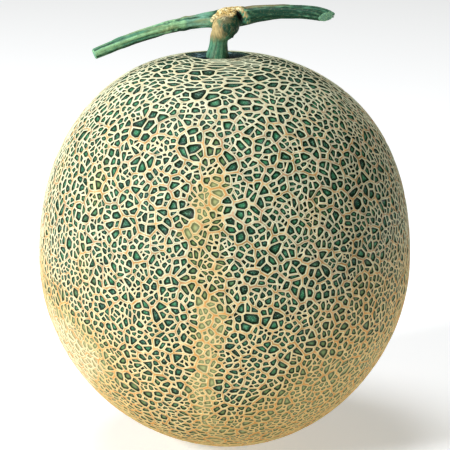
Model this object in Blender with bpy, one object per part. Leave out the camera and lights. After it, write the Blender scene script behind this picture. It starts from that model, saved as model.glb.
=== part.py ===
"""Netted cantaloupe melon, standing on its blossom end with the T-shaped stem left on.

Frame: +Z is up, the origin is on the resting surface under the middle of the fruit,
and the stem's crosspiece runs along X with its thin arm towards -X.
Two pieces: the fruit, which grew as one solid, and the stem, which snaps off it.
"""

import math

import bmesh
import bpy
from mathutils import Vector

MM = 0.001

# The fruit: a round section, its upper half squarer than a circle so that the shoulder is flat.
FRUIT_RADIUS = 72.5 * MM
UPPER_HEIGHT = 80.6 * MM
LOWER_HEIGHT = 75.0 * MM
UPPER_SQUARENESS = 2.26
LOWER_SQUARENESS = 1.94
RINGS = 36
SEGMENTS = 72

# The flat spot that it rests on, and the shallow hollow that the stem stands in.
FLAT_CUT = 1.6 * MM
HOLLOW_DEPTH = 1.6 * MM
HOLLOW_RADIUS = 12.5 * MM

# The fruit isn't a perfect turned shape: both of its ends lie off its middle, and it has
# a few low lobes. Each lobe row gives a count around the fruit, a depth share and a turn.
BODY_OFFSET = -1.2 * MM
TOP_OFFSET = -3.6 * MM
END_SHARE = 0.22
LOBES = ((2, 0.0016, 0.6), (3, 0.0022, 2.1), (5, 0.0012, 4.0))

# The stem. Its points are measured from the middle of its foot, each with the radius there.
STEM_GAP = 0.3 * MM
STALK_POINTS = (
    ((0.0, 0.0, 0.0), 4.9),
    ((0.0, 0.0, 1.6), 4.1),
    ((-0.1, 0.0, 4.6), 3.6),
    ((0.4, -0.1, 8.4), 3.9),
)
NODE_POINT = ((3.0, 0.6, 14.0), 4.6)
THIN_ARM_POINTS = (
    ((-4.6, 1.7, 13.3), 3.05),
    ((-10.0, 2.0, 12.5), 2.7),
    ((-17.0, 1.8, 11.2), 2.65),
    ((-25.8, 1.0, 8.8), 2.55),
    ((-34.0, 0.0, 6.1), 2.45),
    ((-41.6, -1.2, 3.2), 2.35),
    ((-47.3, -2.2, 0.9), 2.15),
)
THICK_ARM_POINTS = (
    ((10.4, 1.5, 15.3), 4.1),
    ((15.6, 1.2, 16.3), 3.7),
    ((22.0, 0.4, 17.2), 3.25),
    ((31.5, -1.0, 17.6), 3.15),
    ((39.0, -2.6, 17.0), 3.0),
    ((43.8, -3.8, 15.9), 2.5),
)
STEM_SMOOTHING = 2


def clear_scene():
    for obj in list(bpy.data.objects):
        bpy.data.objects.remove(obj)


def add_object(name, mesh, material):
    obj = bpy.data.objects.new(name, mesh)
    bpy.context.scene.collection.objects.link(obj)
    mesh.materials.append(material)
    return obj


def make_material(name, colour, roughness):
    material = bpy.data.materials.new(name)
    material.use_nodes = True
    shader = material.node_tree.nodes["Principled BSDF"]
    shader.inputs["Base Color"].default_value = (*colour, 1.0)
    shader.inputs["Roughness"].default_value = roughness
    shader.inputs["Metallic"].default_value = 0.0
    return material


def middle_height():
    """Height of the fruit's widest ring above the surface that it rests on."""
    return LOWER_HEIGHT - FLAT_CUT


def profile_point(share):
    """(radius, height) on the section, from 0 at the blossom end to 1 at the stem end."""
    angle = math.pi * (share - 0.5)
    upper = angle > 0
    power = 2 / (UPPER_SQUARENESS if upper else LOWER_SQUARENESS)
    radius = FRUIT_RADIUS * max(0.0, math.cos(angle)) ** power
    reach = UPPER_HEIGHT if upper else -LOWER_HEIGHT
    height = middle_height() + reach * abs(math.sin(angle)) ** power
    if upper:
        height -= HOLLOW_DEPTH * math.exp(-((radius / HOLLOW_RADIUS) ** 2))
    return radius, height


def flat_spot_share():
    """Share of the section at which it is cut off flat, so that the cut lies at height 0."""
    return math.acos(middle_height() / LOWER_HEIGHT) / math.pi


def axis_offset(share):
    """How far the fruit's axis lies from the origin along X, at a share of its height."""
    near_foot = max(0.0, 1 - share / END_SHARE)
    near_top = max(0.0, 1 - (1 - share) / END_SHARE)
    return BODY_OFFSET * (1 - near_foot**2) + (TOP_OFFSET - BODY_OFFSET) * near_top**2


def grown_shape(point):
    """Turns a point of the perfect turned shape into the fruit's own, slightly uneven one."""
    around = math.atan2(point.y, point.x)
    top = middle_height() + UPPER_HEIGHT
    middle_share = math.sin(math.pi * min(1.0, max(0.0, point.z / top)))
    swell = 1 + middle_share * sum(
        depth * math.cos(count * around + turn) for count, depth, turn in LOBES
    )
    return Vector((point.x * swell + axis_offset(point.z / top), point.y * swell, point.z))


def make_fruit():
    """Turned from half a section, with a flat disc below, then grown slightly uneven."""
    shape = bmesh.new()
    first = flat_spot_share()
    shares = [first + (1 - first) * ring / RINGS for ring in range(RINGS + 1)]
    section = [Vector((0.0, 0.0, 0.0))]
    for share in shares:
        radius, height = profile_point(share)
        section.append(Vector((radius, 0.0, height)))
    section[1].z = 0.0
    section[-1].x = 0.0
    corners = [shape.verts.new(point) for point in section]
    edges = [shape.edges.new(pair) for pair in zip(corners, corners[1:])]
    bmesh.ops.spin(
        shape,
        geom=corners + edges,
        axis=(0, 0, 1),
        cent=(0, 0, 0),
        angle=2 * math.pi,
        steps=SEGMENTS,
        use_merge=True,
    )
    bmesh.ops.remove_doubles(shape, verts=shape.verts, dist=0.01 * MM)
    flat_faces = [f for f in shape.faces if all(v.co.z < 0.01 * MM for v in f.verts)]
    bmesh.ops.dissolve_faces(shape, faces=flat_faces)
    for corner in shape.verts:
        corner.co = grown_shape(corner.co)
    bmesh.ops.recalc_face_normals(shape, faces=shape.faces)
    mesh = bpy.data.meshes.new("fruit")
    shape.to_mesh(mesh)
    shape.free()
    mesh.shade_smooth()
    return add_object("fruit", mesh, make_material("netted_rind", (0.55, 0.52, 0.30), 0.6))


def stem_foot():
    """The middle of the stem's foot: in the hollow, a hair above the fruit."""
    height = profile_point(1.0)[1] + STEM_GAP
    return Vector((TOP_OFFSET, 0.0, height))


def make_stem():
    """A branching skeleton with a radius at each point, skinned and smoothed into one body."""
    foot = stem_foot()
    mesh = bpy.data.meshes.new("stem")
    shape = bmesh.new()
    skin = shape.verts.layers.skin.verify()

    def add_chain(start, points):
        previous = start
        for place, radius in points:
            corner = shape.verts.new(foot + Vector(place) * MM)
            corner[skin].radius = (radius * MM, radius * MM)
            corner[skin].use_root = previous is None
            if previous is not None:
                shape.edges.new((previous, corner))
            previous = corner
        return previous

    top_of_stalk = add_chain(None, STALK_POINTS)
    node = add_chain(top_of_stalk, (NODE_POINT,))
    add_chain(node, THIN_ARM_POINTS)
    add_chain(node, THICK_ARM_POINTS)
    shape.to_mesh(mesh)
    shape.free()
    stem = add_object("stem", mesh, make_material("vine_stem", (0.16, 0.30, 0.15), 0.7))
    stem.modifiers.new("skin", "SKIN").use_smooth_shade = True
    smoothing = stem.modifiers.new("smoothing", "SUBSURF")
    smoothing.levels = STEM_SMOOTHING
    smoothing.render_levels = STEM_SMOOTHING
    return stem


clear_scene()
make_fruit()
make_stem()
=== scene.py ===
import math
import random
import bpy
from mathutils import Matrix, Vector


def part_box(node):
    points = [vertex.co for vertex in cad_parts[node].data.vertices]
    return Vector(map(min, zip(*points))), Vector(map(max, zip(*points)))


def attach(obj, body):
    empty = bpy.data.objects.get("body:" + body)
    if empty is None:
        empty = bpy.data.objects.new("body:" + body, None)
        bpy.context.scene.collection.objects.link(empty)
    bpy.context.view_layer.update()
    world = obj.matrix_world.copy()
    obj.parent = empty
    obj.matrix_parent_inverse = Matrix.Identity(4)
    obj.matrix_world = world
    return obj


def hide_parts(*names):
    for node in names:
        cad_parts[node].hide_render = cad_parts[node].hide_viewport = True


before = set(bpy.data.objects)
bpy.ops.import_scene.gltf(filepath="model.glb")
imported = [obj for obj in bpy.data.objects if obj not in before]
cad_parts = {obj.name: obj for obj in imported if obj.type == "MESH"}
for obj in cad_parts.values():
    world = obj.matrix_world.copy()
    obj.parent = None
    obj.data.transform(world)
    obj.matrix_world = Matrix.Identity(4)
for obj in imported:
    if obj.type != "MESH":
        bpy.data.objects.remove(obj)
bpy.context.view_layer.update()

from types import SimpleNamespace

import bmesh
import bpy
from mathutils import Matrix, Vector, kdtree, noise
from mathutils.bvhtree import BVHTree

MM = 0.001

# ---- The fruit's own surface -------------------------------------------------------------
# The melon grew as one smooth, slightly uneven ball. The frame holds it in flat facets, so a
# copy of them is merged and rounded, and the rind below is laid on that.

SAME_POINT = 0.001 * MM
MOST_FOLD = 0.7
MOST_SKEW = 3.1
ROUNDING_LEVELS = 2
STALK_CONTACT = 1.0 * MM


def add_object(name, data):
    """A new object in the scene that shows this mesh, lamp or camera."""
    thing = bpy.data.objects.new(name, data)
    bpy.context.scene.collection.objects.link(thing)
    return thing


guide_mesh = bpy.data.meshes.new("guide")
shape = bmesh.new()
shape.from_mesh(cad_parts["fruit"].data)
bmesh.ops.remove_doubles(shape, verts=shape.verts, dist=SAME_POINT)
bmesh.ops.join_triangles(
    shape, faces=shape.faces, angle_face_threshold=MOST_FOLD, angle_shape_threshold=MOST_SKEW
)
shape.to_mesh(guide_mesh)
shape.free()
guide = add_object("guide", guide_mesh)
rounding = guide.modifiers.new("rounding", "SUBSURF")
rounding.levels = ROUNDING_LEVELS
rounding.render_levels = ROUNDING_LEVELS
bpy.context.view_layer.update()
skin_tree = BVHTree.FromObject(guide, bpy.context.evaluated_depsgraph_get())
bpy.data.objects.remove(guide)

fruit_low, fruit_high = (Vector(corner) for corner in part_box("fruit"))
middle = (fruit_low + fruit_high) / 2
mean_radius = sum(fruit_high - fruit_low) / 6
foot_corners = [
    corner.co
    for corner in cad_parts["stem"].data.vertices
    if skin_tree.find_nearest(corner.co)[3] < STALK_CONTACT
]
stem_foot = sum(foot_corners, Vector()) / len(foot_corners)


def on_skin(place):
    """The point of the fruit's surface over this place, and the surface's normal there."""
    out = (place - middle).normalized()
    found, normal, _, _ = skin_tree.ray_cast(middle + out * 2 * mean_radius, -out)
    return found, normal


# ---- The net's pattern -------------------------------------------------------------------
# The net is healed cracks in the skin. The first, deep cracks shut off fields some 8 mm
# wide, and later, finer ones split each field again and again across its long way.

FIELD_COUNT = 980
FIELD_UNEVENNESS = 0.34
GOLDEN_TURN = math.pi * (3 - math.sqrt(5))
CELL_AREA = 8.75 * MM * MM
WIDER_AT_STEM = 0.8
FIELD_SPREAD = 0.18
HALF_SPREAD = 0.15
# A cell splits while it is larger than its goal by a factor drawn from this range.
SPLIT_ABOVE = (1.3, 1.6)
CUT_OFF_CENTRE = 0.16
CUT_TURN = 0.22
CORNER_KEPT = 0.22
SHORTEST_EDGE = 0.45 * MM
NEAR_STEM = 40 * MM
STEM_STRETCH = 2.2
CRACK_SEED = 11
rng = random.Random(CRACK_SEED)

net = bmesh.new()
rank_layer = net.edges.layers.int.new("rank")
across_layer = net.verts.layers.float.new("across")
shade_layer = net.verts.layers.float.new("shade")
pale_layer = net.verts.layers.float.new("pale")
depth_layer = net.verts.layers.float.new("depth")
face_rank_layer = net.faces.layers.float.new("rank")
unfolding = net.loops.layers.uv.new("OFBake")
spacing = math.sqrt(4 * math.pi / FIELD_COUNT)
for index in range(FIELD_COUNT):
    up = 1 - (2 * index + 1) / FIELD_COUNT
    reach = math.sqrt(1 - up * up)
    turn = index * GOLDEN_TURN
    seed = Vector((math.cos(turn) * reach, math.sin(turn) * reach, up))
    shift = Vector([rng.uniform(-1, 1) for _ in range(3)]) * spacing * FIELD_UNEVENNESS
    net.verts.new((seed + shift).normalized() * mean_radius)
bmesh.ops.convex_hull(net, input=net.verts)

# Each corner of that hull is the middle of a field, so the hull is turned into its dual.
seeds = list(net.verts)
hull_edges = list(net.edges)
poked = bmesh.ops.poke(net, faces=net.faces)
bmesh.ops.dissolve_edges(net, edges=hull_edges, use_verts=False)
bmesh.ops.connect_verts(net, verts=poked["verts"])
bmesh.ops.dissolve_verts(net, verts=seeds)


def nearness_to_stem(place):
    """1 at the stem, falling to 0 where the net no longer bends round it."""
    distance = (place - Vector((0, 0, mean_radius))).length
    return max(0.0, 1 - distance / NEAR_STEM) ** 0.5


def long_way(cell, centre):
    """Normal of the plane that cuts the cell across its long way."""
    up = centre.normalized()
    around = Vector((0, 0, 1)).cross(up)
    around = around.normalized() if around.length > 1e-6 else Vector((1, 0, 0))
    down = up.cross(around)
    stretch = 1 + (STEM_STRETCH - 1) * nearness_to_stem(centre)
    xx = xy = yy = 0.0
    for corner in cell.verts:
        offset = corner.co - centre
        x = offset.dot(around)
        y = offset.dot(down) * stretch
        xx += x * x
        xy += x * y
        yy += y * y
    angle = 0.5 * math.atan2(2 * xy, xx - yy) + rng.gauss(0, CUT_TURN)
    return around * math.cos(angle) + down * math.sin(angle) * stretch


def cut_cell(cell, depth):
    """Splits the cell in two, and returns the halves, or None if no cut fits."""
    centre = cell.calc_center_median()
    way = long_way(cell, centre)
    sides = [(corner.co - centre).dot(way) for corner in cell.verts]
    span = max(sides) - min(sides)
    level = (max(sides) + min(sides)) / 2 + rng.uniform(-1, 1) * CUT_OFF_CENTRE * span
    crossings = []
    for loop in cell.loops:
        start = (loop.vert.co - centre).dot(way) - level
        end = (loop.link_loop_next.vert.co - centre).dot(way) - level
        if (start < 0) != (end < 0):
            crossings.append((loop.edge, loop.vert, start / (start - end)))
    if len(crossings) != 2:
        return None
    ends = []
    for edge, start_vert, share in crossings:
        share = min(1 - CORNER_KEPT, max(CORNER_KEPT, share))
        _, corner = bmesh.utils.edge_split(edge, start_vert, share)
        ends.append(corner)
    half, new_loop = bmesh.utils.face_split(cell, ends[0], ends[1])
    new_loop.edge[rank_layer] = depth
    return cell, half


for field in list(net.faces):
    wider = 1 + WIDER_AT_STEM * nearness_to_stem(field.calc_center_median())
    waiting = [(field, 1, CELL_AREA * wider * math.exp(rng.gauss(0, FIELD_SPREAD)))]
    while waiting:
        cell, depth, goal = waiting.pop()
        if cell.calc_area() < goal * rng.uniform(*SPLIT_ABOVE):
            continue
        halves = cut_cell(cell, depth)
        if halves:
            for half in halves:
                waiting.append((half, depth + 1, goal * math.exp(rng.gauss(0, HALF_SPREAD))))

for _ in range(2):
    short = [edge for edge in net.edges if edge.calc_length() < SHORTEST_EDGE]
    bmesh.ops.collapse(net, edges=short)

# Growth bends the cracks a little. Noise vectors go by the clock unless they are seeded.
WARP = 0.55 * MM
WARP_PITCH = 5.0 * MM
RELAXING = 0.35
WARP_SEED = 3
noise.seed_set(WARP_SEED)


def relax(shape, share):
    """Draws each corner this share of the way towards its neighbours."""
    bmesh.ops.smooth_vert(
        shape, verts=shape.verts, factor=share, use_axis_x=True, use_axis_y=True, use_axis_z=True
    )


relax(net, RELAXING)
for corner in net.verts:
    corner.co += noise.noise_vector(corner.co / WARP_PITCH) * WARP
    corner.co = corner.co.normalized() * mean_radius

# ---- Bare skin at the two ends -----------------------------------------------------------
# The skin never cracked right behind and beside the stalk, where it stays smooth and dark.
# Below, the flower left a small round corky scar.

BARE_CENTRE = stem_foot + Vector((0, 5.5, 0)) * MM
BARE_HALF_X = 13.0 * MM
BARE_HALF_Y = 9.5 * MM
BARE_WAVE = 1.5 * MM
BARE_WAVE_PITCH = 4 * MM
SCAR_RADIUS = 6.5 * MM


def round_stalk(place):
    """Whether the place is on the wavy bare patch behind and beside the stalk."""
    wave = BARE_WAVE * noise.noise(place / BARE_WAVE_PITCH)
    offset = place - BARE_CENTRE
    reach = math.hypot(offset.x / (BARE_HALF_X + wave), offset.y / (BARE_HALF_Y + wave))
    return place.z > middle.z and reach < 1


def under_flower(place):
    """Whether the place is on the round scar below."""
    return place.z < middle.z and place.to_2d().length < SCAR_RADIUS


def clear_net(is_bare):
    """Takes the net away where the skin is bare, and gives the one wide cell that is left."""
    cells = [cell for cell in net.faces if is_bare(on_skin(middle + cell.calc_center_median())[0])]
    return bmesh.ops.dissolve_faces(net, faces=cells, use_verts=True)["region"][0]


stalk_patch = clear_net(round_stalk)
flower_scar = clear_net(under_flower)

# ---- The rind ----------------------------------------------------------------------------
# One closed skin. Every cell keeps its edge as the ridge's crest, and two rings go in from
# it: the ridge's shoulder, and its foot on the smooth floor of the cell.

# Where the skin ripened from green to cream. First each vein's angle round the fruit in
# degrees, and its strength.
VEINS = ((-97.5, 1.0), (-137.0, 0.45), (-62.0, 0.30), (-25.0, 0.15), (12.0, 0.35), (48.0, 0.6),
         (84.0, 0.45), (120.0, 0.7), (158.0, 0.4), (196.0, 0.55))
VEIN_CORE = 1.3 * MM
VEIN_REACH = 11.7 * MM
VEIN_SWAY = 5.0 * MM
SLOW_SWAY_PITCH = 22 * MM
QUICK_SWAY_PITCH = 6 * MM
VEIN_BREAK_PITCH = 14 * MM
VEINS_FADE_FROM = 108 * MM
VEINS_FADE_TO = 138 * MM
VEINS_FADE_SHARE = 0.8
VEIN_PALE = 0.72
VEIN_PALE_LOW_DOWN = 0.25
MOST_VEIN_PALE = 0.74
BROAD_WAVE_PITCH = 28 * MM
NARROW_WAVE_PITCH = 9 * MM
SUNNY_SIDE = math.radians(-101)
SUNNY_HALF = math.radians(2)
SHADED_FROM = math.radians(60)
PALE_TOP_AT_SUN = 36 * MM
PALE_TOP_IN_SHADE = 86 * MM
PALE_BELOW_TOP = 40 * MM
GREEN_ABOVE_TOP = 16 * MM
TOP_DRIFT = 16 * MM
TOP_DRIFT_PITCH = 40 * MM
TOP_WAVE = 28 * MM
LOW_PALE = 0.66
PALE_PATCH = Vector((-62, -34, 45)) * MM
PATCH_CORE = 12 * MM
PATCH_REACH = 42 * MM
PATCH_WAVE = 20 * MM
PATCH_PALE = 0.95


def smooth_step(value, low, high):
    """0 up to low and 1 from high on, with a smooth rise between them."""
    value = min(1.0, max(0.0, (value - low) / (high - low)))
    return value * value * (3 - 2 * value)


def turn_between(turn, other):
    """The turn from one direction round the fruit to another, the short way."""
    return (turn - other + math.pi) % (2 * math.pi) - math.pi


def vein_strength(place, turn):
    """How strongly the nearest vein from the stem to the scar shows here."""
    strongest = 0.0
    for angle, strength in VEINS:
        sway = noise.noise(Vector((0, angle, place.z / SLOW_SWAY_PITCH))) * VEIN_SWAY
        sway += noise.noise(place / QUICK_SWAY_PITCH) * VEIN_SWAY
        away = abs(turn_between(turn, math.radians(angle)) * mean_radius + sway)
        near = 1 - smooth_step(away, VEIN_CORE, VEIN_REACH)
        broken = 1 + noise.noise(place / VEIN_BREAK_PITCH)
        strongest = max(strongest, strength * near * broken)
    return strongest * (1 - VEINS_FADE_SHARE * smooth_step(place.z, VEINS_FADE_FROM, VEINS_FADE_TO))


def paleness(place):
    """0 where the skin is deep green, 1 where it ripened to cream: low down, and higher up
    away from the sunny side, in one shaded patch, and along the veins."""
    wave = noise.noise(place / BROAD_WAVE_PITCH) / 2 + noise.noise(place / NARROW_WAVE_PITCH) / 4
    turn = math.atan2(place.y, place.x)
    climb = smooth_step(abs(turn_between(turn, SUNNY_SIDE)), SUNNY_HALF, SHADED_FROM)
    pale_top = PALE_TOP_AT_SUN + (PALE_TOP_IN_SHADE - PALE_TOP_AT_SUN) * climb
    drift = noise.noise(place / TOP_DRIFT_PITCH) * TOP_DRIFT + wave * TOP_WAVE
    low = 1 - smooth_step(place.z + drift, pale_top - PALE_BELOW_TOP, pale_top + GREEN_ABOVE_TOP)
    from_patch = (place - PALE_PATCH).length + wave * PATCH_WAVE
    patch = 1 - smooth_step(from_patch, PATCH_CORE, PATCH_REACH)
    vein = VEIN_PALE * vein_strength(place, turn) + VEIN_PALE_LOW_DOWN * low
    return min(1.0, max(LOW_PALE * low, PATCH_PALE * patch, min(MOST_VEIN_PALE, vein)))


# Half widths of the ridges in mm, from the first cracks to the last.
HALF_WIDTHS = (0.77, 0.55, 0.465, 0.41, 0.38)
WIDTH_SPREAD = 0.15
PALE_WIDTH = 1.35
THINNER_AT_STEM = 0.36
CRACK_DEPTH = 0.08 * MM
half_widths = {}
for edge in net.edges:
    step = min(edge[rank_layer], len(HALF_WIDTHS) - 1)
    place = middle + (edge.verts[0].co + edge.verts[1].co) / 2
    grown = 1 + (PALE_WIDTH - 1) * paleness(place)
    grown *= 1 - THINNER_AT_STEM * nearness_to_stem(place - middle)
    half_widths[edge] = HALF_WIDTHS[step] * MM * grown * math.exp(rng.gauss(0, WIDTH_SPREAD))
for corner in net.verts:
    corner[depth_layer] = CRACK_DEPTH
    corner[shade_layer] = 0.5


# How the two rings go in from the cells' edges.
NEARLY_STRAIGHT = 0.95
FOLDED_BACK = 0.05
CORNER_FILL = 0.14
LONGEST_OFFSET = 2.2
FLOOR_SHARE = 0.61
LEAST_FLOOR = 0.2
LEAST_EDGE = 0.02 * MM
INSET = 0.01 * MM
SHOULDER_SHARE = 0.45
RELIEF = 0.42 * MM
LEAST_RELIEF = 0.4
FLATTER_AT_STEM = 0.5
SMALL_CELL = 8.0 * MM * MM
TINY_CELL = 1.3 * MM * MM
DARKER_AT_STEM = 1.25
SMALL_CELL_SHADE = 0.6


def inner_corner(before, corner, after, width_before, width_after):
    """Offset of a cell's corner when the ridges on both sides of it take their widths."""
    out = corner.normalized()
    in_before = out.cross((corner - before).normalized())
    in_after = out.cross((after - corner).normalized())
    match = in_before.dot(in_after)
    widest = max(width_before, width_after)
    if match > NEARLY_STRAIGHT:
        return (in_before + in_after).normalized() * (width_before + width_after) / 2
    spread = 1 - match * match
    if spread < FOLDED_BACK:
        return (in_before + in_after) * widest
    offset = in_before * ((width_before - match * width_after) / spread)
    offset += in_after * ((width_after - match * width_before) / spread)
    offset *= 1 + CORNER_FILL * min(1.0, 1 - match)
    if offset.length > LONGEST_OFFSET * widest:
        offset *= LONGEST_OFFSET * widest / offset.length
    return offset


def cell_offsets(cell):
    """Each corner's full offset to the ridge's foot, and how much the cell thins its ridges."""
    corners = [loop.vert.co.copy() for loop in cell.loops]
    widths = [half_widths[loop.edge] for loop in cell.loops]
    centre = sum(corners, Vector()) / len(corners)
    near = 1.0
    for index, corner in enumerate(corners):
        after = corners[(index + 1) % len(corners)]
        inward = centre.normalized().cross((after - corner).normalized())
        distance = (centre - corner).dot(inward)
        near = min(near, max(LEAST_FLOOR, FLOOR_SHARE * distance / widths[index]))
    offsets = []
    for index, corner in enumerate(corners):
        before = corners[index - 1]
        after = corners[(index + 1) % len(corners)]
        offsets.append(
            inner_corner(before, corner, after, widths[index - 1] * near, widths[index] * near)
        )
    # Where two feet would cross, as in a sharp corner, they meet instead.
    for index, corner in enumerate(corners):
        after = (index + 1) % len(corners)
        along = corners[after] - corner
        if (along + offsets[after] - offsets[index]).dot(along) < 0:
            meeting = (corner + offsets[index] + corners[after] + offsets[after]) / 2
            apart = along.normalized() * LEAST_EDGE
            offsets[index] = meeting - apart - corner
            offsets[after] = meeting + apart - corners[after]
    return corners, offsets, near


def add_ring(cells, share, depth_share):
    """Insets the cells by one ring that lies this share of the way to the ridges' feet."""
    ranks = {cell: [loop.edge[rank_layer] for loop in cell.loops] for cell in cells}
    bmesh.ops.inset_individual(net, faces=cells, thickness=INSET)
    for cell in cells:
        corners, offsets, near = plans[cell]
        shade, pale = shades[cell]
        for loop, corner, offset, rank in zip(cell.loops, corners, offsets, ranks[cell]):
            loop.vert.co = corner + offset * share
            loop.vert[across_layer] = share
            loop.vert[shade_layer] = shade
            loop.vert[pale_layer] = pale
            flatter = 1 - FLATTER_AT_STEM * nearness_to_stem(loop.vert.co)
            relief = LEAST_RELIEF + (1 - LEAST_RELIEF) * near
            loop.vert[depth_layer] = RELIEF * depth_share * relief * flatter
            loop.edge[rank_layer] = rank
            loop.link_loop_radial_next.face[face_rank_layer] = rank


cells = list(net.faces)
plans = {cell: cell_offsets(cell) for cell in cells}
shades = {}
for cell in cells:
    centre = cell.calc_center_median()
    darker = 1 - DARKER_AT_STEM * nearness_to_stem(centre)
    # Small cells are deep and narrow, so their floors take painted shade.
    darker *= 1 - SMALL_CELL_SHADE * (1 - smooth_step(cell.calc_area(), TINY_CELL, SMALL_CELL))
    shades[cell] = (rng.random() * darker, paleness(middle + centre))
for corner in net.verts:
    corner[pale_layer] = paleness(middle + corner.co)
large = [cell for cell in cells if cell.calc_area() > SMALL_CELL]
add_ring(large, SHOULDER_SHARE, 0.0)
add_ring(cells, 1.0, 1.0)

# The skin of each cell swells a little in its middle.
DOME = 0.12 * MM
FLOOR_MIDDLE = 2.0
floors = [cell for cell in cells if cell not in (stalk_patch, flower_scar)]
middles = bmesh.ops.poke(net, faces=[cell for cell in floors if cell.calc_area() > TINY_CELL])
for corner in middles["verts"]:
    around = [edge.other_vert(corner) for edge in corner.link_edges]
    corner[across_layer] = FLOOR_MIDDLE
    corner[shade_layer] = around[0][shade_layer]
    corner[pale_layer] = around[0][pale_layer]
    corner[depth_layer] = around[0][depth_layer] - DOME

# The two bare places follow the hollows there in a few more rings. Each ring has its size
# beside the one before it, and its own look.
SMOOTH = 3.0
GROOVE = 1.0
HALF_GROOVE = 0.5
CORKY = 0.2
for edge in list(flower_scar.edges):
    bmesh.utils.edge_split(edge, edge.verts[0], 1 / 3)
    bmesh.utils.edge_split(edge, edge.verts[0], 0.5)
STALK_RINGS = ((0.80, SMOOTH), (0.75, SMOOTH), (0.75, SMOOTH), (0.75, SMOOTH))
SCAR_RINGS = ((0.86, GROOVE), (0.84, CORKY), (0.80, HALF_GROOVE), (0.70, CORKY), (0.45, GROOVE))
SCAR_ROUNDNESS = 0.7
for patch, roundness, rings in (
    (stalk_patch, 0.0, STALK_RINGS),
    (flower_scar, SCAR_ROUNDNESS, SCAR_RINGS),
):
    for shrink, look in rings:
        corners = [loop.vert.co.copy() for loop in patch.loops]
        centre = sum(corners, Vector()) / len(corners)
        typical = sum((corner - centre).length for corner in corners) / len(corners)
        bmesh.ops.inset_individual(net, faces=[patch], thickness=INSET)
        for loop, corner in zip(patch.loops, corners):
            rounder = 1 + roundness * (typical / (corner - centre).length - 1)
            loop.vert.co = centre + (corner - centre) * shrink * rounder
            loop.vert[across_layer] = look
            loop.vert[depth_layer] = RELIEF * min(look, 1.0)
            loop.vert[shade_layer] = 0.0
            loop.link_loop_radial_next.face[face_rank_layer] = 0.0

for corner in net.verts:
    place, normal = on_skin(middle + corner.co)
    corner.co = place - normal * corner[depth_layer]
    corner.co.z = max(corner.co.z, 0.0)

MAP_HALF = 0.495


def unfold(way, face_way):
    """Where a direction from the fruit's middle lies when the ball is opened out to a square."""
    way /= abs(way.x) + abs(way.y) + abs(way.z)
    if way.z >= 0:
        return way.x, way.y
    right = math.copysign(1, face_way.x)
    back = math.copysign(1, face_way.y)
    return (1 - back * way.y) * right, (1 - right * way.x) * back


for face in net.faces:
    face_way = face.calc_center_median() - middle
    for loop in face.loops:
        unfolded = unfold(loop.vert.co - middle, face_way)
        loop[unfolding].uv = [0.5 + MAP_HALF * min(1.0, max(-1.0, part)) for part in unfolded]

rind_mesh = bpy.data.meshes.new("rind")
net.to_mesh(rind_mesh)
net.free()
rind_mesh.shade_smooth()
rind = add_object("rind", rind_mesh)


def new_finish(name, specular):
    """A new material, its node tree and its Principled node."""
    finish = bpy.data.materials.new(name)
    finish.use_nodes = True
    principled = finish.node_tree.nodes["Principled BSDF"]
    principled.inputs["Specular IOR Level"].default_value = specular
    return finish, finish.node_tree, principled


def put(socket, value):
    """Links a node's output to the socket, or sets the socket's own value."""
    if isinstance(value, bpy.types.NodeSocket):
        socket.id_data.links.new(value, socket)
    elif socket.type == "RGBA":
        socket.default_value = (*value, 1.0)
    else:
        socket.default_value = value


def attribute(name, output="Fac"):
    """One of the mesh's own layers, as a value or a vector."""
    node = tree.nodes.new("ShaderNodeAttribute")
    node.attribute_name = name
    return node.outputs[output]


def object_place():
    """The place on the object's own coordinates, in metres."""
    return tree.nodes.new("ShaderNodeTexCoord").outputs["Object"]


def along_axis(axis):
    """The place along X, Y or Z on the object's own coordinates."""
    node = tree.nodes.new("ShaderNodeSeparateXYZ")
    put(node.inputs["Vector"], object_place())
    return node.outputs[axis]


def blend_colours(share, first, second, how="MIX"):
    """The first colour where the share is 0, the second laid over it where it is 1."""
    node = tree.nodes.new("ShaderNodeMix")
    node.data_type = "RGBA"
    node.blend_type = how
    put(node.inputs[0], share)
    put(node.inputs[6], first)
    put(node.inputs[7], second)
    return node.outputs[2]


def blend_values(share, first, second):
    """The first value where the share is 0, the second where it is 1."""
    node = tree.nodes.new("ShaderNodeMix")
    put(node.inputs[0], share)
    put(node.inputs[2], first)
    put(node.inputs[3], second)
    return node.outputs[0]


def fade(value, low, high, to_low=0.0, to_high=1.0):
    """Smooth step of the value from low to high, given out as to_low to to_high."""
    node = tree.nodes.new("ShaderNodeMapRange")
    node.interpolation_type = "SMOOTHSTEP"
    put(node.inputs["Value"], value)
    put(node.inputs["From Min"], low)
    put(node.inputs["From Max"], high)
    put(node.inputs["To Min"], to_low)
    put(node.inputs["To Max"], to_high)
    return node.outputs["Result"]


def arithmetic(how, first, second):
    """A sum or product, kept between 0 and 1."""
    node = tree.nodes.new("ShaderNodeMath")
    node.operation = how
    node.use_clamp = True
    put(node.inputs[0], first)
    put(node.inputs[1], second)
    return node.outputs[0]


def blotches(place, size, detail):
    """Noise with blotches of this size in metres."""
    node = tree.nodes.new("ShaderNodeTexNoise")
    put(node.inputs["Vector"], place)
    put(node.inputs["Scale"], 1 / size)
    put(node.inputs["Detail"], detail)
    return node.outputs["Fac"]


def grain(size, detail=2.0):
    """Blotches on the object's own coordinates."""
    return blotches(object_place(), size, detail)


def add_bump(height, distance, strength):
    """Gives the material in hand a fine relief."""
    node = tree.nodes.new("ShaderNodeBump")
    put(node.inputs["Height"], height)
    put(node.inputs["Distance"], distance)
    put(node.inputs["Strength"], strength)
    put(surface.inputs["Normal"], node.outputs["Normal"])


rind_finish, tree, surface = new_finish("netted_rind", 0.15)
across = attribute("across")
pale = attribute("pale")
shade = attribute("shade")
rank = attribute("rank")
height = along_axis("Z")
speck = grain(0.9 * MM)
mottle = grain(3.5 * MM)
blush = grain(7 * MM, 0.0)
fleck = grain(0.45 * MM, 1.0)
cloud = grain(22 * MM)

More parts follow.
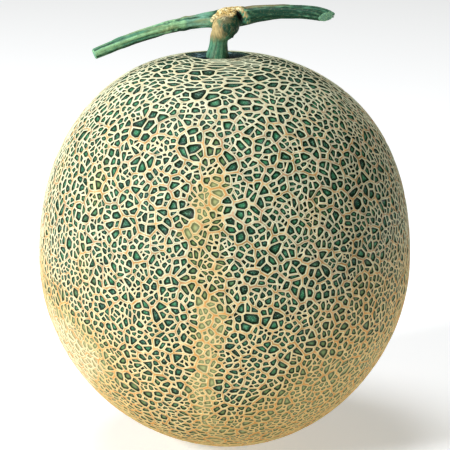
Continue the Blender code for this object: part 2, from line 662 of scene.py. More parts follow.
CREAM = (0.92, 1.0, 0.70)
GOLD_CREAM = (1.0, 0.92, 0.52)
WARM_CREAM = (0.90, 0.76, 0.37)
PALE_CREAM = (1.0, 0.93, 0.60)
CREAM_SPECK = (0.50, 0.40, 0.20)
CORK = (0.66, 0.31, 0.075)
PINK_CORK = (0.59, 0.30, 0.15)
DARK_CORK = (0.20, 0.115, 0.03)
RUST = (0.72, 0.32, 0.08)
# Brown for the thin line beside the crest, and for the painted shade on the ridges' flanks.
BROWN_LINE_AND_FLANK_SHADE = (0.15, 0.12, 0.035)

# The ridges: cream, more golden low down, with a corky crest that is brown where it is wide.
warmth = arithmetic("ADD", fade(pale, 0.12, 0.75), fade(cloud, 0.50, 0.75, 0.0, 0.15))
cream = blend_colours(fade(height, 98 * MM, 50 * MM, 0.0, 0.75), CREAM, GOLD_CREAM)
cream = blend_colours(warmth, cream, WARM_CREAM)
cream = blend_colours(fade(pale, 0.70, 0.88), cream, PALE_CREAM)
cream = blend_colours(fade(speck, 0.50, 0.80, 0.0, 0.20), cream, CREAM_SPECK)
low_rust = fade(height, 105 * MM, 55 * MM, 0.0, 0.4)
rust_share = arithmetic("ADD", fade(pale, 0.10, 0.55, 0.0, 0.5), low_rust)
cork = blend_colours(fade(blush, 0.46, 0.60), CORK, PINK_CORK)
cork = blend_colours(fade(mottle, 0.42, 0.66, 0.0, 0.6), cork, DARK_CORK)
cork = blend_colours(rust_share, cork, RUST)
main_crest = fade(across, 0.55, 0.23, 0.0, 0.95)
fine_crest = fade(across, 0.42, 0.10, 0.0, 0.80)
crest = blend_values(fade(rank, 0.0, 1.0), main_crest, fine_crest)
crest = arithmetic("MULTIPLY", crest, fade(mottle, 0.25, 0.5, 0.55, 1.0))
crest = arithmetic("MULTIPLY", crest, fade(height, 128 * MM, 148 * MM, 1.0, 0.60))
ridge = blend_colours(crest, cream, cork)
crest_edge = arithmetic("MULTIPLY", fade(across, 0.36, 0.46), fade(across, 0.60, 0.50))
crest_edge = arithmetic("MULTIPLY", crest_edge, fade(rank, 1.5, 0.5, 0.15, 0.55))
ridge = blend_colours(crest_edge, ridge, BROWN_LINE_AND_FLANK_SHADE)
# Painted shade: the ridges' flanks darken to brown towards the cells' floors, less so where the skin is
# pale.
flank_shade = arithmetic("MULTIPLY", fade(across, 0.60, 0.80), fade(pale, 0.55, 0.92, 1.0, 0.30))
ridge = blend_colours(flank_shade, ridge, BROWN_LINE_AND_FLANK_SHADE)

SHADED_GREEN = (0.002, 0.009, 0.001)
DEEP_TEAL = (0.006, 0.066, 0.038)
LEAF_GREEN = (0.035, 0.215, 0.088)
PALE_FLECK = (0.22, 0.46, 0.30)
OLIVE = (0.15, 0.24, 0.085)
SAGE = (0.38, 0.43, 0.18)
STRAW = (0.50, 0.41, 0.17)
BARE_SKIN = (0.004, 0.032, 0.038)
BARE_SKIN_REFLECTION = (0.20, 0.34, 0.38)
LOW_SHADE_TINT = (0.84, 0.80, 0.69)

# The cells' floors: deep green through sage to straw as they ripen, with painted shade round their
# rims.
green = blend_colours(fade(shade, 0.1, 0.9), DEEP_TEAL, LEAF_GREEN)
# Cells with a low shade value go near black: the darker cells by the stem and at random, and painted
# shade in small cells.
green = blend_colours(fade(shade, 0.20, -0.10), green, SHADED_GREEN)
green = blend_colours(fade(fleck, 0.46, 0.66, 0.0, 0.60), green, PALE_FLECK)
floor_skin = blend_colours(fade(pale, 0.10, 0.42), green, OLIVE)
floor_skin = blend_colours(fade(pale, 0.48, 0.72), floor_skin, SAGE)
floor_skin = blend_colours(fade(pale, 0.68, 0.92), floor_skin, STRAW)
# Painted shade: each floor darkens towards its rim where the ridges rise, less so where the skin is
# pale; floors too small to have a middle are shaded all over.
rim_shade = arithmetic("MULTIPLY", fade(across, 1.84, 1.10), fade(pale, 0.4, 0.92, 1.0, 0.35))
floor_skin = blend_colours(rim_shade, floor_skin, SHADED_GREEN)
# On the bare patch by the stalk, pale blue-grey blotches are painted reflections on its glossy skin.
bare_skin_and_reflection = blend_colours(fade(mottle, 0.55, 0.66, 0.0, 0.9), BARE_SKIN, BARE_SKIN_REFLECTION)
floor_skin = blend_colours(fade(across, 2.2, 2.9), floor_skin, bare_skin_and_reflection)

floor_mask = fade(across, 0.78, 0.93)
rind_colour = blend_colours(floor_mask, ridge, floor_skin)
# Painted shade: the rind grows darker and a little warmer towards the bottom, away from the lamps
# above.
low_shade = fade(height, 62 * MM, 6 * MM)
put(surface.inputs["Base Color"], blend_colours(low_shade, rind_colour, LOW_SHADE_TINT, "MULTIPLY"))
gloss = arithmetic("ADD", fade(floor_mask, 0.0, 1.0, 0.0, 0.6), fade(across, 2.2, 2.9, 0.0, 0.4))
put(surface.inputs["Roughness"], fade(gloss, 0.0, 1.0, 0.75, 0.22))
add_bump(speck, 0.12 * MM, 0.6)
rind_mesh.materials.append(rind_finish)

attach(rind, "root")
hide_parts("fruit")

# ---- The stem ----------------------------------------------------------------------------
# A short length of vine with the fruit's own stalk on it, cut at both ends when the melon
# was picked. It is green and ribbed, and rough tan bark has grown over the joint.

# Each stop is x, y, z and the radius there, in mm from the middle of the stalk's foot.
STALK = (
    (-0.3, 0, -0.8, 4.7), (-0.2, 0, 0.6, 4.35), (0, 0, 2.4, 3.85), (0.2, 0, 5.0, 3.45),
    (0.6, -0.4, 7.4, 3.6), (1.8, -1.1, 9.6, 4.4), (3.0, -1.6, 11.4, 4.5),
)
VINE = (
    (-49.6, -2.6, -0.4, 1.9), (-47.3, -2.2, 0.9, 2.0), (-41.6, -1.2, 3.2, 2.1), (-34, 0, 6.1, 2.25),
    (-25.8, 1.0, 8.8, 2.35), (-17, 1.8, 11.2, 2.45), (-10, 2.0, 12.5, 2.55), (-4.6, 1.7, 13.4, 2.9),
    (3.0, 0.8, 14.2, 4.0), (10.4, 1.4, 15.2, 3.6), (15.6, 1.2, 16.0, 3.15), (22, 0.4, 16.7, 2.8),
    (31.5, -1.0, 17.0, 2.6), (38.5, -2.6, 16.4, 2.5), (43.0, -3.6, 15.2, 2.35), (47.0, -4.6, 13.4, 2.2),
)
STEP = 0.6 * MM
LIMB_SIDES = 28
KNOB = Vector((3.3, -1.7, 11.6))
KNOB_HALF = Vector((5.0, 4.5, 4.2))
STUB = Vector((5.4, -2.4, 8.0))
# Each stub's turn in radians, by which it also stands aside in mm, and its half length in mm.
STUBS = ((-0.3, 1.1), (0.3, 0.8))
STUB_LEAN = math.pi - 0.5
STUB_FOOT = 0.65 * MM
STUB_TIP = 0.25 * MM
# The place of each cut, and the way that it faces.
CUTS = (
    ((-47.6, -2.2, 0.6), (-0.90, -0.25, -0.30)),
    ((42.1, -3.4, 15.5), (0.40, -0.72, -0.56)),
)
VOXEL = 0.32 * MM
Y_AXIS = Vector((0, 1, 0))


def route_through(stops):
    """Points and radii at even steps along the smooth curve through the stops."""
    stops = [Vector((*stem_foot, 0)) + Vector(stop) * MM for stop in stops]
    padded = [2 * stops[0] - stops[1], *stops, 2 * stops[-1] - stops[-2]]
    route = []
    for before, start, end, after in zip(padded, padded[1:], padded[2:], padded[3:]):
        count = max(1, round((end - start).to_3d().length / STEP))
        for index in range(count):
            t = index / count
            bend = (2 * before - 5 * start + 4 * end - after) * t * t
            bend += (3 * start - before - 3 * end + after) * t * t * t
            route.append((2 * start + (end - before) * t + bend) / 2)
    route.append(stops[-1])
    return route


def frames_along(route):
    """A matrix for each point: two axes as long as the radius, the way on, and the place."""
    frames = []
    for index, stop in enumerate(route):
        way = (route[min(index + 1, len(route) - 1)] - route[max(index - 1, 0)]).to_3d()
        way.normalize()
        side = way.cross(Y_AXIS).normalized()
        turned = Matrix((side, side.cross(way), way)).transposed().to_4x4()
        swollen = Matrix.Diagonal((stop.w, stop.w, MM, 1))
        frames.append(Matrix.Translation(stop.to_3d()) @ turned @ swollen)
    return frames


def grow_limb(shape, frames):
    """A closed round tube through the frames."""
    ring = bmesh.ops.create_circle(shape, cap_ends=True, segments=LIMB_SIDES, radius=1)["verts"]
    bmesh.ops.transform(shape, matrix=frames[0], verts=ring)
    cap = ring[0].link_faces[0]
    for before, after in zip(frames, frames[1:]):
        pulled = bmesh.ops.extrude_face_region(shape, geom=[cap])["geom"]
        ring = [part for part in pulled if isinstance(part, bmesh.types.BMVert)]
        cap = next(part for part in pulled if isinstance(part, bmesh.types.BMFace))
        bmesh.ops.transform(shape, matrix=after @ before.inverted(), verts=ring)


def cut_through(shape, place, way):
    """Cuts off what lies past this place, and closes the end."""
    everything = [*shape.verts, *shape.edges, *shape.faces]
    cut = bmesh.ops.bisect_plane(
        shape, geom=everything, plane_co=place, plane_no=way, clear_outer=True
    )
    rim = [part for part in cut["geom_cut"] if isinstance(part, bmesh.types.BMEdge)]
    bmesh.ops.edgeloop_fill(shape, edges=rim)


stalk_frames = frames_along(route_through(STALK))
vine_frames = frames_along(route_through(VINE))
cuts = [(stem_foot + Vector(place) * MM, Vector(way).normalized()) for place, way in CUTS]
shape = bmesh.new()
grow_limb(shape, vine_frames)
for place, way in cuts:
    cut_through(shape, place, way)
grow_limb(shape, stalk_frames)
knob_place = Matrix.Translation(stem_foot + KNOB * MM) @ Matrix.Diagonal((*(KNOB_HALF * MM), 1))
bmesh.ops.create_icosphere(shape, subdivisions=3, radius=1, matrix=knob_place)
# Dry stubs of the leaf and the tendril that grew at the joint.
for turn, reach in STUBS:
    root = stem_foot + (STUB + Vector((turn, turn, 0))) * MM
    lean = Matrix.Rotation(STUB_LEAN + turn, 4, "Y")
    bmesh.ops.create_cone(
        shape, cap_ends=True, segments=10, radius1=STUB_FOOT, radius2=STUB_TIP,
        depth=2 * reach * MM, matrix=Matrix.Translation(root) @ lean,
    )
bmesh.ops.recalc_face_normals(shape, faces=shape.faces)

# The pieces above grow together into one skin.
form_mesh = bpy.data.meshes.new("stem_form")
shape.to_mesh(form_mesh)
shape.free()
form = add_object("stem_form", form_mesh)
joining = form.modifiers.new("joining", "REMESH")
joining.mode = "VOXEL"
joining.voxel_size = VOXEL
bpy.context.view_layer.update()
joined = form.evaluated_get(bpy.context.evaluated_depsgraph_get())
stem_mesh = bpy.data.meshes.new_from_object(joined)
bpy.data.objects.remove(form)

# The skin's details are laid on corner by corner. The measures of one corner are gathered in
# one spot, for its shape first and then its colours, with places in mm from the middle of the
# stalk's foot. The arm to the left is the thin one.
JOINT = stem_foot + Vector((3.4, 0, 14.2)) * MM
JOINT_HALF = 5.5
JOINT_REACH = 12.0
THIN_UP_TO = -12
THICK_FROM = -5


def tree_of(frames):
    """Finds which of the frames is nearest to a point."""
    places = kdtree.KDTree(len(frames))
    for index, place in enumerate(frames):
        places.insert(place.translation, index)
    places.balance()
    return places


def bump_at(value, centre, half):
    """1 at the centre, falling off evenly to nothing some two halves away."""
    return math.exp(-(((value - centre) / half) ** 2))


stalk_tree = tree_of(stalk_frames)
vine_tree = tree_of(vine_frames)


def find_spot(point):
    """Where a corner of the stem's skin lies on the nearer of its two limbs."""
    spot = SimpleNamespace(point=point.copy(), place=(point - stem_foot) / MM)
    nearest = []
    for limb, frames in ((stalk_tree, stalk_frames), (vine_tree, vine_frames)):
        _, index, away = limb.find(point)
        nearest.append((away / frames[index].col[0].to_3d().length, frames[index]))
    spot.on_stalk = nearest[0][0] < nearest[1][0]
    spot.axis = nearest[0 if spot.on_stalk else 1][1]
    spot.offset = point - spot.axis.translation
    first = spot.offset.dot(spot.axis.col[0].to_3d())
    second = spot.offset.dot(spot.axis.col[1].to_3d())
    spot.around = math.atan2(second, first)
    spot.along = spot.place.z if spot.on_stalk else spot.place.x
    spot.out = spot.offset.normalized()
    spot.free = smooth_step((point - JOINT).length / MM, JOINT_HALF, JOINT_REACH)
    spot.thin = 0.0 if spot.on_stalk else 1 - smooth_step(spot.place.x, THIN_UP_TO, THICK_FROM)
    return spot


RIBS = 9
MORE_STALK_RIBS = 4
RIB_TWIST = 0.02
RIB_HEIGHT = 0.15 * MM
RIBS_RISE = (-0.5, 2.0)
STALK_RIB_SHARE = 0.4
MAIN_RIB_HEIGHT = 0.38 * MM
MAIN_RIB_WAY = Vector((0, -0.96, 0.28))
MAIN_RIB_HALF = 0.10
LUMP = 0.22 * MM
LUMP_PITCH = 5.0 * MM
KNUCKLE_X = -12.8
KNUCKLE_HALF = 1.5
KNUCKLE_HEIGHT = 0.35 * MM
ROUGH_X = -17.5
ROUGH_HALF = 5.0
ROUGH_HEIGHT = 0.30 * MM
ROUGH_PITCH = 0.9 * MM
ROUGH_FACING = (0.2, -0.6)


def rib_push(spot):
    """Fine ribs all along, and on the thin arm a main rib, a knuckle and a rough stretch."""
    place = spot.place
    ribs_round = RIBS + MORE_STALK_RIBS * spot.on_stalk
    spot.rib = math.cos(ribs_round * (spot.around + RIB_TWIST * spot.along))
    rib_size = RIB_HEIGHT * spot.free * (STALK_RIB_SHARE if spot.on_stalk else 1.0)
    push = rib_size * smooth_step(place.z, *RIBS_RISE) * spot.rib
    push += LUMP * noise.noise(spot.point / LUMP_PITCH)
    spot.main_rib = spot.thin * bump_at(spot.out.dot(MAIN_RIB_WAY), 1.0, MAIN_RIB_HALF)
    push += MAIN_RIB_HEIGHT * spot.main_rib * spot.free
    push += KNUCKLE_HEIGHT * spot.thin * bump_at(place.x, KNUCKLE_X, KNUCKLE_HALF)
    spot.rough = spot.thin * bump_at(place.x, ROUGH_X, ROUGH_HALF)
    spot.rough *= smooth_step(spot.out.y, *ROUGH_FACING)
    push += ROUGH_HEIGHT * spot.rough * noise.noise(spot.point / ROUGH_PITCH)
    return push


KNOB_EDGE = (1.02, 1.22)
COLLAR = Vector((3.7, -1.0, 16.938))
COLLAR_HALF = Vector((5.7, 6.5, 2.3))
COLLAR_RISE = 0.38
COLLAR_EDGE = (0.80, 1.20)
COLLAR_FRAY = 0.30
COLLAR_FRAY_PITCH = 1.8 * MM
BARK_HEIGHT = 0.35 * MM
KNOB_BARE = 0.8
SCALE_PITCH = 1.15 * MM
SCALE_WANDER = 0.9
SCALE_WANDER_PITCH = 1.6 * MM
SCALE_GAP = 0.38 * MM
GAP_HALF = 0.20
GAP_BREAK_PITCH = 1.3 * MM
GAP_BREAK_EDGE = (-0.45, 0.10)


def bark_push(spot):
    """Scaly bark lies over the joint, rising to the right above the knob."""
    place = spot.place
    point = spot.point
    spot.knob_reach = Vector(a / b for a, b in zip(place - KNOB, KNOB_HALF)).length
    spot.knob = 1 - smooth_step(spot.knob_reach, *KNOB_EDGE)
    from_collar = place - COLLAR
    from_collar.z -= COLLAR_RISE * from_collar.x
    collar = Vector(a / b for a, b in zip(from_collar, COLLAR_HALF)).length
    collar += COLLAR_FRAY * noise.noise(point / COLLAR_FRAY_PITCH)
    spot.bark = (1 - smooth_step(collar, *COLLAR_EDGE)) * (1 - KNOB_BARE * spot.knob)
    wander = noise.noise_vector(point / SCALE_WANDER_PITCH) * SCALE_WANDER
    scales = Vector((place.x * 0.55 - 0.3 * place.z, place.y * 0.7, place.z * 1.3)) + wander
    gaps = noise.voronoi(scales * MM / SCALE_PITCH)[0]
    spot.crack = 1 - smooth_step(gaps[1] - gaps[0], 0.0, GAP_HALF)
    spot.crack *= smooth_step(noise.noise(point / GAP_BREAK_PITCH), *GAP_BREAK_EDGE)
    return spot.bark * (BARK_HEIGHT - SCALE_GAP * spot.crack)


HOLE_X = 8.21
HOLE_Z = 15.4
HOLE_SLANT = 0.45
HOLE_HALF_X = 0.95
HOLE_HALF_Z = 2.0
HOLE_TEAR = 0.3
HOLE_TEAR_PITCH = 0.7 * MM
HOLE_DEPTH = 2.2 * MM
HOLE_FACING = (0.5, -1.2)
LIP_ASIDE = 2.1
LIP_Z = 15.6
LIP_HALF_X = 1.2
LIP_HALF_Z = 3.4
LIP_HEIGHT = 0.15 * MM
FRAY_HEIGHT = 0.6 * MM


def lip_push(spot):
    """The torn hole where a leaf broke away, with a pale frayed lip on its right."""
    place = spot.place
    slant = place.x - HOLE_X - HOLE_SLANT * (HOLE_Z - place.z)
    facing = smooth_step(place.y, *HOLE_FACING)
    torn = slant + HOLE_TEAR * noise.noise(spot.point / HOLE_TEAR_PITCH)
    spot.hole = bump_at(torn, 0.0, HOLE_HALF_X) * bump_at(place.z, HOLE_Z, HOLE_HALF_Z) * facing
    spot.lip = bump_at(slant, LIP_ASIDE, LIP_HALF_X) * bump_at(place.z, LIP_Z, LIP_HALF_Z) * facing
    spot.fray = noise.noise(Vector((place.x * 1.9, place.y, place.z * 0.6)))
    return spot.lip * (LIP_HEIGHT + FRAY_HEIGHT * spot.fray)


CUT_REACH = 5.0 * MM
CUT_FACE = 0.45 * MM
CUT_RIM = 1.2 * MM
RIM_DARK = 0.5
DISH = 0.55 * MM
DISH_RADIUS = 2.2 * MM
DISH_EDGE = (0.35, 0.95)


def trim_at_cuts(spot):
    """Dishes the cut faces, and marks their flesh and the dark line round them."""
    spot.flesh = 0.0
    spot.rim = 0.0
    for cut_place, way in cuts:
        depth = (cut_place - spot.point).dot(way)
        if (spot.point - cut_place).length > CUT_REACH:
            continue
        if depth > CUT_FACE:
            spot.rim = RIM_DARK * (1 - smooth_step(depth, CUT_FACE, CUT_RIM))
        else:
            spot.flesh = 1.0
            spread = (spot.point - cut_place + way * depth).length / DISH_RADIUS
            spot.point -= way * DISH * (1 - smooth_step(spread, *DISH_EDGE))


# The green's lightness on each limb, from 0 to 1, and what raises or lowers it.
STALK_LIGHT = 0.36
KNOB_SHADE = 0.28
KNOB_SHADE_EDGE = (-1.0, 3.0)
VINE_LIGHT = 0.04
LEFT_LIGHT = 0.55
LEFT_LIGHT_EDGE = (-6, 1)
THIN_LIGHT = 0.06
MOTTLE_LIGHT = 0.20
# Painted light on the thick arm's upper side, where light falls from above.
RIGHT_TOP_PAINTED_LIGHT = 0.20
RIGHT_TOP = (0.45, 0.95)
RIGHT_TOP_FROM = (9, 15)
# Painted shade of a groove above the thin arm's main rib.
GROOVE_SHADE = 0.42
GROOVE_SHADE_WAY = Vector((0, -0.72, 0.69))
GROOVE_SHADE_HALF = 0.07
STREAK_LENGTH = 14
STREAKS_ROUND = 1.6
STREAK_LIGHT = 0.18
MORE_THIN_STREAK = 0.16
RIB_LIGHT = 0.08
MORE_THIN_RIB = 0.04
LIP_LIGHT = 0.75
LIP_FRAY_LIGHT = 0.9
MAIN_RIB_LIGHT = 0.38
ROUGH_LIGHT = 0.20
ROUGH_FLECK_LIGHT = 0.9
UNDER_SHADE = 0.65
UNDER_EDGE = (-0.25, -0.85)


def lightness(spot):
    """How light the green is: more so on the thin arm, its main rib and its rough stretch, with painted
    light and shade.
    """
    place = spot.place
    thin = spot.thin
    cosine = math.cos(spot.around) * STREAKS_ROUND
    sine = math.sin(spot.around) * STREAKS_ROUND
    streak = noise.noise(Vector((spot.along / STREAK_LENGTH, cosine, sine)))
    if spot.on_stalk:
        light = STALK_LIGHT - KNOB_SHADE * spot.knob * smooth_step(place.x, *KNOB_SHADE_EDGE)
    else:
        left = 1 - smooth_step(place.x, *LEFT_LIGHT_EDGE)
        mottled = noise.noise(Vector((place.x / 3, place.y, place.z)) * 1.1)
        right_top = smooth_step(spot.out.z, *RIGHT_TOP)
        groove_shade = thin * bump_at(spot.out.dot(GROOVE_SHADE_WAY), 1.0, GROOVE_SHADE_HALF)
        light = VINE_LIGHT + LEFT_LIGHT * left + THIN_LIGHT * thin
        light += MOTTLE_LIGHT * mottled
        light += RIGHT_TOP_PAINTED_LIGHT * right_top * smooth_step(place.x, *RIGHT_TOP_FROM)
        light -= GROOVE_SHADE * groove_shade
    light += (STREAK_LIGHT + MORE_THIN_STREAK * thin) * streak
    light += (RIB_LIGHT + MORE_THIN_RIB * thin) * spot.rib * spot.free
    light += spot.lip * (LIP_LIGHT + LIP_FRAY_LIGHT * spot.fray)
    light += MAIN_RIB_LIGHT * spot.main_rib
    flecked = noise.noise(Vector((place.x * 0.5, place.y, place.z)) / 0.7)
    light += spot.rough * (ROUGH_LIGHT + ROUGH_FLECK_LIGHT * flecked)
    return light - UNDER_SHADE * thin * smooth_step(spot.out.z, *UNDER_EDGE)


# The brown skin's strength in each place, and where along the limbs it starts and ends.
BROWN_STREAK = 0.30
SUNNY_SLANT = 0.45
SUNNY_SLANT_Z = 11
SUNNY_EDGE = (-1.0, 3.4)
BROWN_RISE = (3.5, 10.5)
LEAST_BROWN = 0.10
SUNNY_BROWN = 0.66
STREAKED_BROWN = 1.2
LEFT_TOP_BROWN = 0.45
LEFT_TOP_FROM = (-22, -10)
RIGHT_TOP_BROWN = 0.42
RIGHT_TOP_BROWN_FROM = (8, 11)
RIGHT_TOP_BROWN_TO = (20, 34)
TOP_BROWN_EDGE = (0.70, 0.95)
LIP_BROWN = 1.1
LIP_FRAY_EDGE = (-0.25, 0.25)
ROUGH_BROWN = 0.16


def browning_and_highlight(spot):
    """Smooth brown skin on the knob's sunny side, arms' tops and torn lip, and a painted highlight on
    the knob.
    """
    place = spot.place
    streak = noise.noise(Vector((place.x * 1.8 + place.z * 0.5, place.y, place.z * 0.3)))
    striped = BROWN_STREAK * streak
    sunny = 1 - smooth_step(place.x + SUNNY_SLANT * (place.z - SUNNY_SLANT_Z), *SUNNY_EDGE)
    brown = smooth_step(place.z, *BROWN_RISE) * max(spot.knob, 1.0 * spot.on_stalk)
    brown *= LEAST_BROWN + SUNNY_BROWN * sunny + STREAKED_BROWN * striped
    left_top = LEFT_TOP_BROWN * smooth_step(place.x, *LEFT_TOP_FROM) * spot.thin
    right_top = RIGHT_TOP_BROWN * smooth_step(place.x, *RIGHT_TOP_BROWN_FROM)
    right_top *= 1 - smooth_step(place.x, *RIGHT_TOP_BROWN_TO)
    top = smooth_step(spot.out.z, *TOP_BROWN_EDGE) * (left_top + right_top)
    frayed = LIP_BROWN * spot.lip * smooth_step(spot.fray, *LIP_FRAY_EDGE)
    return max(brown, spot.arc, ROUGH_BROWN * spot.rough, top, frayed) * (1 - spot.hole)


STUB_MIDDLE = STUB + Vector((0.2, 0, -0.6))
STUB_EDGE = (0.9, 1.5)
STUB_DARK = 0.8
# Painted shade in the torn hole, the bark's cracks and the grooves between ribs.
HOLE_SHADE = 1.7
CRACK_SHADE = 0.9
RIB_GAP_SHADE = 0.5


def darkness(spot):
    """Painted shade: black in the hole, dark in the bark's cracks and between ribs; and dark stubs and
    cut rims.
    """
    stub = STUB_DARK * (1 - smooth_step((spot.place - STUB_MIDDLE).length, *STUB_EDGE))
    between_ribs = RIB_GAP_SHADE * spot.free * max(0.0, -spot.rib)
    hole = min(1.0, HOLE_SHADE * spot.hole)
    return max(hole, CRACK_SHADE * spot.crack * spot.bark, between_ribs, stub, spot.rim)


JOIN_RELAXING = 0.5
# A painted highlight, in tan, runs in an arc round the knob's top below the bark, and thins the bark
# there.
HIGHLIGHT_ARC_REACH = 1.06
HIGHLIGHT_ARC_HALF = 0.07
HIGHLIGHT_ARC_RISE = (12.0, 14.0)
HIGHLIGHT_ARC_END = (4, 7)
GRAIN_STRETCH = 0.18
stem_shape = bmesh.new()
stem_shape.from_mesh(stem_mesh)
light_layer = stem_shape.verts.layers.float.new("light")
bark_layer = stem_shape.verts.layers.float.new("bark")
tan_and_highlight_layer = stem_shape.verts.layers.float.new("tan")
cut_layer = stem_shape.verts.layers.float.new("cut")
dark_layer = stem_shape.verts.layers.float.new("dark")
grain_layer = stem_shape.verts.layers.float_vector.new("grain")
for _ in range(3):
    relax(stem_shape, JOIN_RELAXING)
for corner in stem_shape.verts:
    spot = find_spot(corner.co)
    push = rib_push(spot) + bark_push(spot) + lip_push(spot)
    trim_at_cuts(spot)
    if spot.flesh:
        push = 0.0
    corner.co = spot.point + spot.out * push + Y_AXIS * HOLE_DEPTH * spot.hole
    arc = bump_at(spot.knob_reach, HIGHLIGHT_ARC_REACH, HIGHLIGHT_ARC_HALF) * smooth_step(spot.place.z, *HIGHLIGHT_ARC_RISE)
    spot.arc = arc * (1 - smooth_step(spot.place.x, *HIGHLIGHT_ARC_END))
    corner[light_layer] = lightness(spot)
    corner[bark_layer] = spot.bark * (1 - 0.5 * spot.crack) * (1 - spot.hole) * (1 - 0.7 * spot.arc)
    corner[tan_and_highlight_layer] = browning_and_highlight(spot)
    corner[cut_layer] = spot.flesh
    corner[dark_layer] = darkness(spot)
    sideways = (spot.offset.dot(spot.axis.col[part].to_3d().normalized()) for part in (0, 1))
    corner[grain_layer] = Vector((spot.along * MM * GRAIN_STRETCH, *sideways))
stem_shape.to_mesh(stem_mesh)
stem_shape.free()
stem_mesh.shade_smooth()
stem = add_object("stalk_and_vine", stem_mesh)

stem_finish, tree, surface = new_finish("green_stem", 0.18)
light = attribute("light")
bark = attribute("bark")
tan = attribute("tan")
cut_face = attribute("cut")
dark = attribute("dark")
side = along_axis("X")
# The stem's own grain is drawn out along it.
lengthwise = attribute("grain", "Vector")
fine_streak = blotches(lengthwise, 0.5 * MM, 3.0)
broad_streak = blotches(lengthwise, 1.8 * MM, 3.0)
stem_speck = grain(0.6 * MM)
stem_blotch = grain(1.6 * MM)

DARK_STEM = (0.008, 0.050, 0.026)
STEM_GREEN = (0.085, 0.27, 0.155)
LIGHT_STEM = (0.31, 0.58, 0.29)
STEM_OLIVE = (0.30, 0.31, 0.12)
GREY_BLOOM = (0.17, 0.38, 0.28)
BARK_DARK = (0.16, 0.11, 0.035)
BARK_TAN = (0.72, 0.49, 0.16)
BARK_PALE = (0.95, 0.82, 0.45)
SMOOTH_BROWN = (0.33, 0.21, 0.08)
SMOOTH_TAN = (0.62, 0.47, 0.21)
CUT_FLESH = (0.15, 0.34, 0.22)
DARK_MARK_AND_SHADE = (0.008, 0.007, 0.005)

green = blend_colours(fade(light, 0.1, 0.45), DARK_STEM, STEM_GREEN)
green = blend_colours(fade(light, 0.45, 0.85), green, LIGHT_STEM)
# A grey bloom lies on the thin arm between the knuckle and the joint.
foot = stem_foot.x
past_knuckle = fade(side, foot - 13 * MM, foot - 11.5 * MM)
before_joint = fade(side, foot - 2 * MM, foot - 6 * MM)
bloom = arithmetic("MULTIPLY", past_knuckle, before_joint)
bloom = arithmetic("MULTIPLY", bloom, fade(light, 0.2, 0.5, 0.0, 0.75))
green = blend_colours(bloom, green, GREY_BLOOM)
olive_share = arithmetic("MULTIPLY", fade(broad_streak, 0.48, 0.72, 0.0, 0.6), fade(light, 0.18, 0.42))
green = blend_colours(olive_share, green, STEM_OLIVE)
green = blend_colours(fade(stem_blotch, 0.55, 0.36, 0.0, 0.30), green, DARK_STEM)
green = blend_colours(fade(fine_streak, 0.50, 0.32, 0.0, 0.26), green, DARK_STEM)
green = blend_colours(fade(fine_streak, 0.54, 0.72, 0.0, 0.25), green, LIGHT_STEM)
tan_colour = blend_colours(fade(tan, 0.30, 0.85), SMOOTH_BROWN, SMOOTH_TAN)
tan_colour = blend_colours(fade(stem_blotch, 0.42, 0.62, 0.0, 0.6), tan_colour, SMOOTH_BROWN)
green = blend_colours(fade(tan, 0.05, 0.75, 0.0, 0.95), green, tan_colour)
bark_colour = blend_colours(fade(stem_blotch, 0.40, 0.62), BARK_TAN, BARK_PALE)
bark_colour = blend_colours(fade(stem_speck, 0.55, 0.36, 0.0, 0.75), bark_colour, BARK_DARK)
bark_edge = arithmetic("ADD", bark, fade(stem_speck, 0.35, 0.65, -0.15, 0.15))
stem_colour = blend_colours(fade(bark_edge, 0.08, 0.55), green, bark_colour)
# Near black for the dark stubs and cut rims, and for the painted shade in the hole, cracks and rib
# gaps.
stem_colour = blend_colours(fade(dark, 0.25, 0.95, 0.0, 0.95), stem_colour, DARK_MARK_AND_SHADE)
flesh_colour = blend_colours(fade(stem_speck, 0.40, 0.75), CUT_FLESH, LIGHT_STEM)
put(surface.inputs["Base Color"], blend_colours(cut_face, stem_colour, flesh_colour))
put(surface.inputs["Roughness"], fade(bark_edge, 0.2, 0.6, 0.48, 0.85))
add_bump(fine_streak, 0.10 * MM, 0.45)
stem_mesh.materials.clear()
stem_mesh.materials.append(stem_finish)

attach(stem, "root")
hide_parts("stem")

# ---- Floor, light and camera -------------------------------------------------------------
# A plain pale floor that gives off a little light of its own, so that shadows stay soft. One
# wide lamp stands at the upper left and a weaker one above, and the camera looks a bit down.

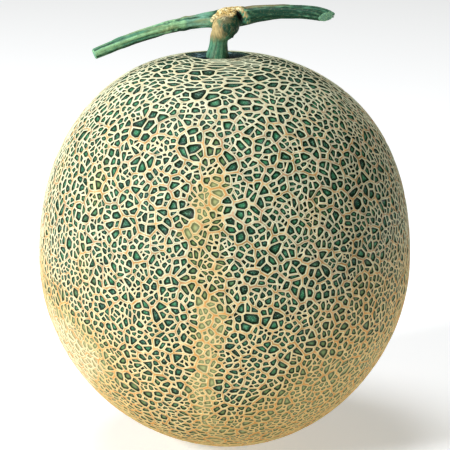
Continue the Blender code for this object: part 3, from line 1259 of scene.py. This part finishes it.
FLOOR_HALF = 4.0
FLOOR_GREY = (0.84, 0.84, 0.84)
FLOOR_GLOW = (1, 1, 0.98)
FLOOR_GLOW_STRENGTH = 0.44
FLOOR_ROUGHNESS = 0.9
SKY = (1, 0.98, 0.80)
SKY_STRENGTH = 0.05
LAMP_TINT = (0.975, 1.0, 1.04)

floor_mesh = bpy.data.meshes.new("floor")
shape = bmesh.new()
bmesh.ops.create_grid(shape, x_segments=1, y_segments=1, size=FLOOR_HALF)
shape.to_mesh(floor_mesh)
shape.free()
floor = add_object("floor", floor_mesh)
floor_finish, tree, surface = new_finish("pale_floor", 0.5)
put(surface.inputs["Base Color"], FLOOR_GREY)
put(surface.inputs["Emission Color"], FLOOR_GLOW)
put(surface.inputs["Emission Strength"], FLOOR_GLOW_STRENGTH)
put(surface.inputs["Roughness"], FLOOR_ROUGHNESS)
floor_mesh.materials.append(floor_finish)

world = bpy.data.worlds.new("studio")
bpy.context.scene.world = world
world.use_nodes = True
backdrop = world.node_tree.nodes["Background"]
put(backdrop.inputs["Color"], SKY)
put(backdrop.inputs["Strength"], SKY_STRENGTH)
bpy.context.scene.view_settings.view_transform = "Standard"


def add_softbox(name, place, size, power):
    """A square lamp that faces the middle of the fruit."""
    lamp = bpy.data.lights.new(name, "AREA")
    lamp.color = LAMP_TINT
    lamp.size = size
    lamp.energy = power
    holder = add_object(name, lamp)
    holder.location = place
    holder.rotation_euler = (middle - Vector(place)).to_track_quat("-Z", "Y").to_euler()


add_softbox("key", (-1.80, -1.36, 1.15), 0.60, 58)
add_softbox("top", (-0.30, 0.10, 1.50), 0.80, 15)

ELEVATION = math.radians(14)
DISTANCE = 0.9
LENS = 184.3
SENSOR = 36
AIM = Vector((-1.2 * MM, 0, 86.1 * MM))
camera_data = bpy.data.cameras.new("camera")
camera_data.lens = LENS
camera_data.sensor_width = SENSOR
camera = add_object("camera", camera_data)
camera.location = AIM + DISTANCE * Vector((0, -math.cos(ELEVATION), math.sin(ELEVATION)))
camera.rotation_euler = (math.pi / 2 - ELEVATION, 0, 0)
bpy.context.scene.camera = camera
